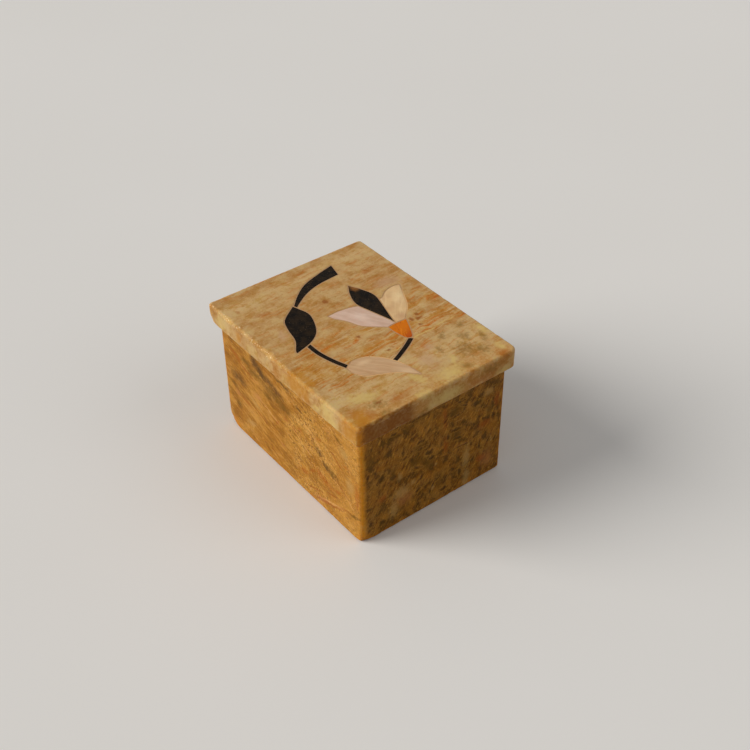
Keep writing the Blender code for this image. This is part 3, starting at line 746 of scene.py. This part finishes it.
def polished_black(name, glow=None):
    """Black stone: a brown-black ground with faint scratches and a few pale specks, and
    where a place is given, a thin end that lets brown through."""
    f = Finish(name, Specular_IOR_Level=0.05)
    at = f.place()
    ground = f.noise(at, 0.6, 4, 0.6)
    colour = f.mix(f.step(ground, 0.35, 0.65), tone(16, 10, 5), tone(40, 28, 14))
    specks = f.step(f.noise(at, 3.2, 2, 0.5), 0.64, 0.74)
    colour = f.mix(specks * 0.4, colour, tone(120, 98, 70))
    if glow:
        ragged = f.noise(at, 1.4, 3, 0.6)
        colour = f.mix(f.spots(at, glow, ragged, 0.9, 0.9) * 0.8, colour, tone(158, 102, 48))
    scratch = f.noise(f.grain(f.stirred(at, 0.4, 0.8), (6, 0.16, 0.16), (0, 0, 38)), 1.0, 2)
    return f.done(colour, 0.22 + f.step(scratch, 0.5, 0.7) * 0.3 + specks * 0.2,
                  f.relief(scratch, 0.00001, 0.3))


def pearly_shell(name, ground, deep, light, turn, lights, depths):
    """Shell: faint growth lines along its length, lighter and deeper places, a soft sheen."""
    f = Finish(name, Specular_IOR_Level=0.25, Sheen_Weight=0.06, Subsurface_Weight=0.12,
               Subsurface_Radius=(1.0, 0.5, 0.3), Subsurface_Scale=0.0008)
    at = f.place()
    soft = f.noise(at, 0.28, 3, 0.5)
    ragged = f.noise(at, 1.0, 3, 0.5)
    colour = f.mix(f.step(soft, 0.35, 0.65) * 0.6 + 0.4, tone(*deep), tone(*ground))
    colour = f.mix(f.spots(at, depths, ragged, 0.5, 1.0) * 0.9, colour, tone(*deep))
    growth = f.noise(f.grain(f.stirred(at, 0.3, 0.8), (7, 0.5, 1), (0, 0, turn)), 1.0, 3, 0.55)
    colour = f.mix(f.step(growth, 0.45, 0.7) * 0.35, colour, tone(*light))
    colour = f.mix(f.spots(at, lights, ragged, 0.5, 1.0) * 0.7, colour, tone(*light))
    return f.done(colour, 0.27 + growth * 0.14, f.relief(growth, 0.00001, 0.4))


def orange_stone():
    """Carnelian: clear orange, redder veins towards the stem, a glassy polish."""
    f = Finish("carnelian", Specular_IOR_Level=0.1, Subsurface_Weight=0.15,
               Subsurface_Radius=(1.0, 0.3, 0.05), Subsurface_Scale=0.0008)
    at = f.place()
    colour = f.mix(f.step(f.part(at, "X"), 6.0, 9.6), tone(220, 118, 0), tone(190, 80, 0))
    veins = f.noise(f.grain(f.stirred(at, 0.6, 1.2), (3, 0.45, 1), (0, 0, -35)), 1.0, 4, 0.6)
    colour = f.mix(f.step(veins, 0.5, 0.68) * 0.5, colour, tone(236, 142, 10))
    colour = f.mix(f.step(veins, 0.44, 0.3) * 0.5, colour, tone(172, 74, 0))
    return f.done(colour, 0.2 + veins * 0.12)


def cement():
    """Pale bedding cement, warmer round the shells, with dust and pinholes."""
    f = Finish("cement", Specular_IOR_Level=0.2)
    at = f.place()
    dust = f.noise(at, 1.6, 4, 0.6)
    colour = f.mix(dust, tone(178, 136, 96), tone(206, 164, 118))
    warm = f.spots(at, on_top((13.5, -5, 6.5, 6.0, 36), (-1, 11, 6, 3.5, -36)), dust, 0.4, 0.4)
    colour = f.mix(warm * 0.7, colour, tone(240, 194, 134))
    holes = f.step(f.noise(at, 3.5, 2), 0.36, 0.28)
    colour = f.mix(holes * 0.6, colour, tone(110, 76, 48))
    return f.done(colour, 0.6 + dust * 0.2, f.relief(dust - holes * 0.5, 0.00006, 0.5))


# ---- The body and the lid -----------------------------------------------------------

def stacked(block_high, *plans):
    """Rings of several sections on end, round a block with this far corner: a plan holds a
    section, its four corner radii at the outside, and how much its upright corners wear.
    Returns the grid and its nearness to an edge."""
    grids, nears = [], []
    for section, radii, upright_wear in plans:
        inset, height, edge = section.T
        corners = np.maximum(np.array(radii) - inset[:, None], LEAST_RADIUS)
        ring, upright = rounded_rings(block_high.x - inset, block_high.y - inset, corners)
        level = np.broadcast_to(height[:, None, None], ring.shape[:2] + (1,))
        grids.append(np.concatenate([ring, level], -1))
        fading = upright_wear * np.exp(-inset / EDGE_REACH)[:, None]
        nears.append(np.maximum(upright * fading, edge[:, None]))
    return np.concatenate(grids), np.concatenate(nears)


def body_mesh():
    """The carved block, its section run from the foot over the rim and down to the floor."""
    outside = profile(
        quarter(0, 0, FOOT_EASE, 1, -1, 7, False),
        span((0, FOOT_EASE), (0, RIM_LEVEL - RIM_OUTER_EASE), 54),
        quarter(0, RIM_LEVEL, RIM_OUTER_EASE, 1, 1, 5))
    inside = profile(
        quarter(WALL, RIM_LEVEL, RIM_INNER_EASE, -1, 1, 6, False),
        span((WALL, RIM_LEVEL - RIM_INNER_EASE), (WALL, FLOOR + FLOOR_FILLET), 18),
        quarter(WALL, FLOOR, FLOOR_FILLET, 1, -1, 8))
    grid, near = stacked(body_high, (outside, BODY_CORNERS, UPRIGHT_WEAR),
                         (inside, [CAVITY_CORNER + WALL] * 4, 0))
    grid, wear = worn(grid, near, 3, BODY_DENTS)
    grid[..., 2] = np.maximum(grid[..., 2], 0)
    hollow = np.arange(len(grid)) >= len(outside) + RIM_ROWS
    return banded_mesh("stone_body", grid, wear=wear, inner=near * 0 + hollow[:, None])


def pocket_net():
    """The flat triangles of the lid's pocket floors, as places and as triples of their rows."""
    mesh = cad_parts["lid"].data
    corners = np.zeros(len(mesh.vertices) * 3, np.float32)
    mesh.vertices.foreach_get("co", corners)
    mesh.calc_loop_triangles()
    triples = np.zeros(len(mesh.loop_triangles) * 3, np.int32)
    mesh.loop_triangles.foreach_get("vertices", triples)
    places = corners.reshape(-1, 3).astype(float)[triples.reshape(-1, 3)]
    chosen = places[np.all(np.abs(places[..., 2] - POCKET_LEVEL) < SAME, axis=1)][..., :2]
    rounded = np.round(chosen.reshape(-1, 2) / SAME).astype(np.int64)
    _, first, back = np.unique(rounded, axis=0, return_index=True, return_inverse=True)
    return chosen.reshape(-1, 2)[first], back.reshape(-1, 3)


def raised(name, net, low, high):
    """A flat net of triangles made solid between two levels, with a wall along its rim:
    the rim is every edge that no other triangle runs the other way."""
    places, triples = net
    count = len(places)
    points = np.concatenate([np.c_[places, np.full(count, level)] for level in (low, high)])
    edges = np.concatenate([triples[:, pair] for pair in ([0, 1], [1, 2], [2, 0])])
    rim = edges[~np.isin(edges[:, 0] * count + edges[:, 1], edges[:, 1] * count + edges[:, 0])]
    walls = np.stack([rim[:, 0], rim[:, 1], rim[:, 1] + count, rim[:, 0] + count], -1)
    mesh = bpy.data.meshes.new(name)
    faces = triples[:, ::-1].tolist() + (triples + count).tolist() + walls.tolist()
    mesh.from_pydata(points.tolist(), [], faces)
    mesh.update()
    return mesh


def lid_mesh(net):
    """The slab and its step, worn along its edges, with the pockets cut into its face."""
    step = profile(
        quarter(STEP_INSET, lid_low.z, STEP_EASE, 1, -1, 6, False),
        span((STEP_INSET, lid_low.z + STEP_EASE), (STEP_INSET, SEAT_LEVEL), 5),
        [(STEP_INSET, SEAT_LEVEL, 0)])
    slab = profile(
        span((STEP_INSET, SEAT_LEVEL), (LID_EASE, SEAT_LEVEL), 8),
        quarter(0, SEAT_LEVEL, LID_EASE, 1, -1, 8, False),
        span((0, SEAT_LEVEL + LID_EASE), (0, FACE_LEVEL - LID_EASE), 12),
        quarter(0, FACE_LEVEL, LID_EASE, 1, 1, 9),
        span((LID_EASE, FACE_LEVEL), (RING_LIMIT, FACE_LEVEL), 9))
    grid, near = stacked(lid_high, (step, [STEP_CORNER + STEP_INSET] * 4, 0),
                         (slab, LID_CORNERS, UPRIGHT_WEAR))
    near[-1] = 0
    grid, wear = worn(grid, near, 9, LID_DENTS, FACE_LEVEL - SAME)
    under = (grid[..., 2] <= SEAT_LEVEL + SAME).astype(float)
    uncut = bpy.data.objects.new("uncut_lid", banded_mesh(
        "uncut_lid", grid, wear=wear, inner=under))
    cutter = bpy.data.objects.new("pocket_cutter", raised(
        "pocket_cutter", net, POCKET_LEVEL, FACE_LEVEL + OVERRUN))
    for thing in (uncut, cutter):
        bpy.context.scene.collection.objects.link(thing)
    cut = uncut.modifiers.new("pockets", "BOOLEAN")
    cut.operation, cut.solver, cut.object = "DIFFERENCE", "EXACT", cutter
    bpy.context.view_layer.update()
    evaluated = uncut.evaluated_get(bpy.context.evaluated_depsgraph_get())
    mesh = bpy.data.meshes.new_from_object(evaluated)
    mesh.name = "stone_lid"
    for thing in (uncut, cutter):
        bpy.data.objects.remove(thing, do_unlink=True)
    mesh.set_sharp_from_angle(angle=math.radians(SHARP_ANGLE))
    return mesh


net = pocket_net()
piece("stone_body", body_mesh(), "body", body_stone(), "body_stone", "box_body")
piece("stone_lid", lid_mesh(net), "lid", lid_stone(), "lid_stone", "lid")
piece("cement_lines", raised("cement_lines", net, POCKET_LEVEL, FACE_LEVEL - CEMENT_DEPTH),
      "lid", cement(), "lid_stone")

black = polished_black("black_stone")
STONES = {
    "leaf_dark": black, "stem_tail": black, "stem_lower": black, "stem_right": black,
    "petal_centre": polished_black("brown_black_stone", on_top((-10.9, 7.2, 1.7, 1.5, 0))),
    "leaf_shell": pearly_shell(
        "leaf_shell", (208, 166, 122), (198, 152, 104), (232, 196, 150), 40,
        on_top((17.8, -1.8, 3.4, 1.6, 36), (10.4, -6.6, 1.2, 3.0, 0)),
        on_top((13.6, -8.0, 2.4, 1.6, 36))),
    "petal_lower": pearly_shell(
        "pink_shell", (222, 186, 162), (206, 168, 142), (242, 212, 192), 30,
        on_top((-2.2, 1.6, 3.4, 1.8, 36)), on_top((2.6, 4.0, 2.0, 1.2, 36))),
    "petal_upper": pearly_shell(
        "cream_shell", (232, 192, 136), (204, 158, 110), (250, 218, 164), -38,
        on_top((-3.0, 12.4, 3.4, 2.0, -36)), on_top((2.8, 8.6, 2.6, 1.8, -36))),
    "calyx": orange_stone(),
}
for node, material in STONES.items():
    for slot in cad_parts[node].material_slots:
        slot.material = material


# ---- Floor, light and camera ----------------------------------------------------------

def floor():
    """A plain pale floor, flat to far outside the view. What it throws back on the stone is
    the light of a duller floor than the pale one that is seen."""
    mesh = bpy.data.meshes.new("floor")
    mesh.from_pydata([(x * FLOOR_REACH, y * FLOOR_REACH, -SAME)
                      for x, y in ((-1, -1), (1, -1), (1, 1), (-1, 1))], [], [(0, 1, 2, 3)])
    f = Finish("pale_floor", Roughness=0.9, Specular_IOR_Level=0.0)
    cloud = f.noise(f.place(), 0.01, 2)
    pale = f.mix(cloud, tone(236, 234, 230), tone(240, 238, 235))
    mesh.materials.append(f.done(f.mix(f.seen(), tone(166, 160, 152), pale)))
    thing = bpy.data.objects.new("floor", mesh)
    bpy.context.scene.collection.objects.link(thing)


def lamp(name, place, strength, colour):
    """A far soft light that falls the same on the whole floor, from its place to the middle
    of the box. It lights the stone without a white mirror image of itself in the polish."""
    light = bpy.data.lights.new(name, "SUN")
    light.angle, light.energy, light.color = math.radians(LAMP_SPREAD), strength, colour
    thing = bpy.data.objects.new(name, light)
    bpy.context.scene.collection.objects.link(thing)
    thing.location = place
    thing.visible_glossy = False
    aim = Vector((0, 0, FACE_LEVEL / 2)) - Vector(place)
    thing.rotation_euler = aim.to_track_quat("-Z", "Y").to_euler()


def sky():
    """An even white light from all round, seen itself as the pale that the floor ends in."""
    world = bpy.data.worlds.new("studio")
    world.use_nodes = True
    background = world.node_tree.nodes["Background"].inputs
    nodes = Nodes(world.node_tree)
    nodes.join((1, 1, 1, 1), background["Color"])
    nodes.join(nodes.seen() * (SKY_SEEN - SKY_LIGHT) + SKY_LIGHT, background["Strength"])
    bpy.context.scene.world = world


def camera():
    """The camera at the photograph's place: its angles, reach and place fit the box's corners."""
    azimuth, elevation, roll = (
        math.radians(a) for a in (CAMERA_AZIMUTH, CAMERA_ELEVATION, CAMERA_ROLL))
    forward = Vector((-math.cos(azimuth) * math.cos(elevation),
                      -math.sin(azimuth) * math.cos(elevation), -math.sin(elevation)))
    level = forward.cross(Vector((0, 0, 1))).normalized()
    right = level * math.cos(roll) + forward.cross(level) * math.sin(roll)
    data = bpy.data.cameras.new("camera")
    data.sensor_width, data.lens, data.clip_start = CAMERA_SENSOR, CAMERA_LENS, CAMERA_NEAR
    thing = bpy.data.objects.new("camera", data)
    bpy.context.scene.collection.objects.link(thing)
    axes = Matrix((right, right.cross(forward), -forward)).transposed().to_4x4()
    thing.matrix_world = Matrix.Translation(CAMERA_PLACE) @ axes
    bpy.context.scene.camera = thing


floor()
lamp("key", *KEY_LAMP)
lamp("fill", *FILL_LAMP)
sky()
bpy.context.scene.view_settings.view_transform = "Standard"
camera()
